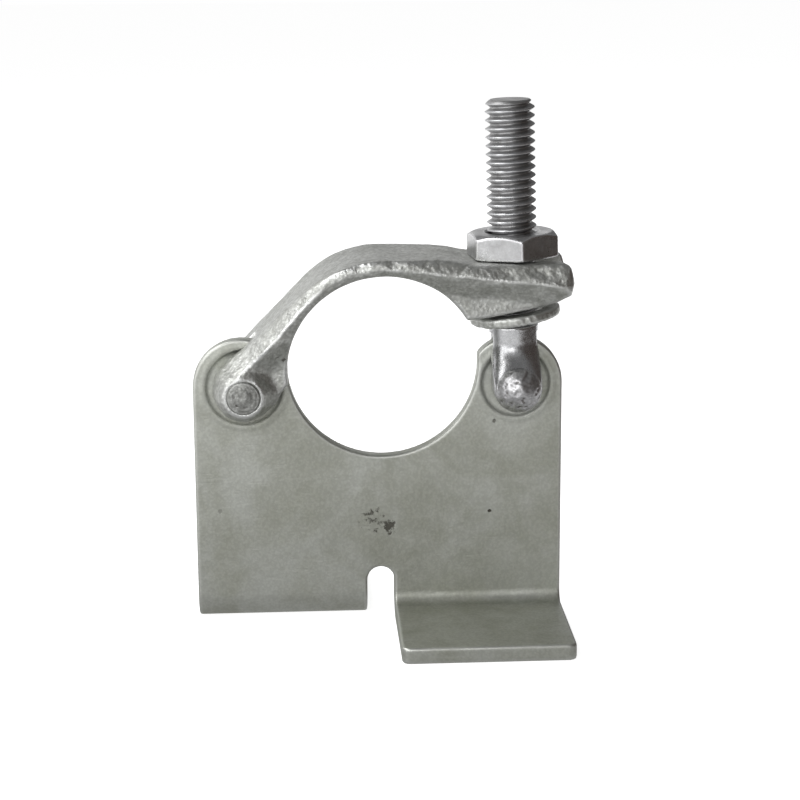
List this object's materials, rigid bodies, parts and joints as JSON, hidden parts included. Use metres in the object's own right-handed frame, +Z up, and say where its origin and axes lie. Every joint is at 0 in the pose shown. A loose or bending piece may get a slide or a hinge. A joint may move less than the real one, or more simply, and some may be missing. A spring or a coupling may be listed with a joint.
{
  "type": "board retaining coupler",
  "caption": "Scaffold board retaining coupler: pressed plate with a half-round tube seat and two bent feet, hinged forged flap, swing bolt, washer and hexagon nut.",
  "frame": {"origin": "centre of the round tube seat, on the mid-plane of the plate", "axes": "+Z up, away from the feet; +X from the flap's hinge to the swing bolt; +Y to the back, along the tube; the front foot points to -Y"},
  "size_m": [0.096, 0.0748, 0.1341],
  "materials": {
    "zinc_plate": "satin, mottled greenish zinc plating",
    "zinc_forging": "rough forged surface under zinc plating",
    "rivet_steel": "dull peened rivet head",
    "zinc_bright": "bright zinc plating, shiny",
    "zinc_washer": "satin zinc plating",
    "zinc_nut": "bright zinc plating, machined faces"
  },
  "bodies": {
    "plate": {"body_plate": "zinc_plate"},
    "flap_arm": {"flap": "zinc_forging", "hinge_rivet": "rivet_steel"},
    "bolt_arm": {"swing_bolt": "zinc_bright", "bolt_rivet": "zinc_bright"},
    "loose_washer": {"washer": "zinc_washer"},
    "clamp_nut": {"nut": "zinc_nut"}
  },
  "joints": [
    {"name": "bolt_swing", "type": "hinge", "parent": "plate", "child": "bolt_arm", "pos_m": [0.0338, 0, -0.0056], "axis": [0, 1, 0], "range_deg": [0, 100]},
    {"name": "flap_hinge", "type": "hinge", "parent": "plate", "child": "flap_arm", "pos_m": [-0.0352, 0, -0.0056], "axis": [0, -1, 0], "range_deg": [0, 110]},
    {"name": "nut_travel", "type": "slide", "parent": "bolt_arm", "child": "clamp_nut", "axis": [-0.0244, 0, 0.9997], "range_m": [0, 0.0325]},
    {"name": "washer_slide", "type": "slide", "parent": "bolt_arm", "child": "loose_washer", "axis": [-0.0244, 0, 0.9997], "range_m": [-0.0035, 0.0005]}
  ],
  "couplings": [
    {"joint": "nut_travel", "follows": "bolt_swing", "m_per_rad": 0.0186},
    {"joint": "flap_hinge", "follows": "bolt_swing", "ratio": 0.09}
  ]
}
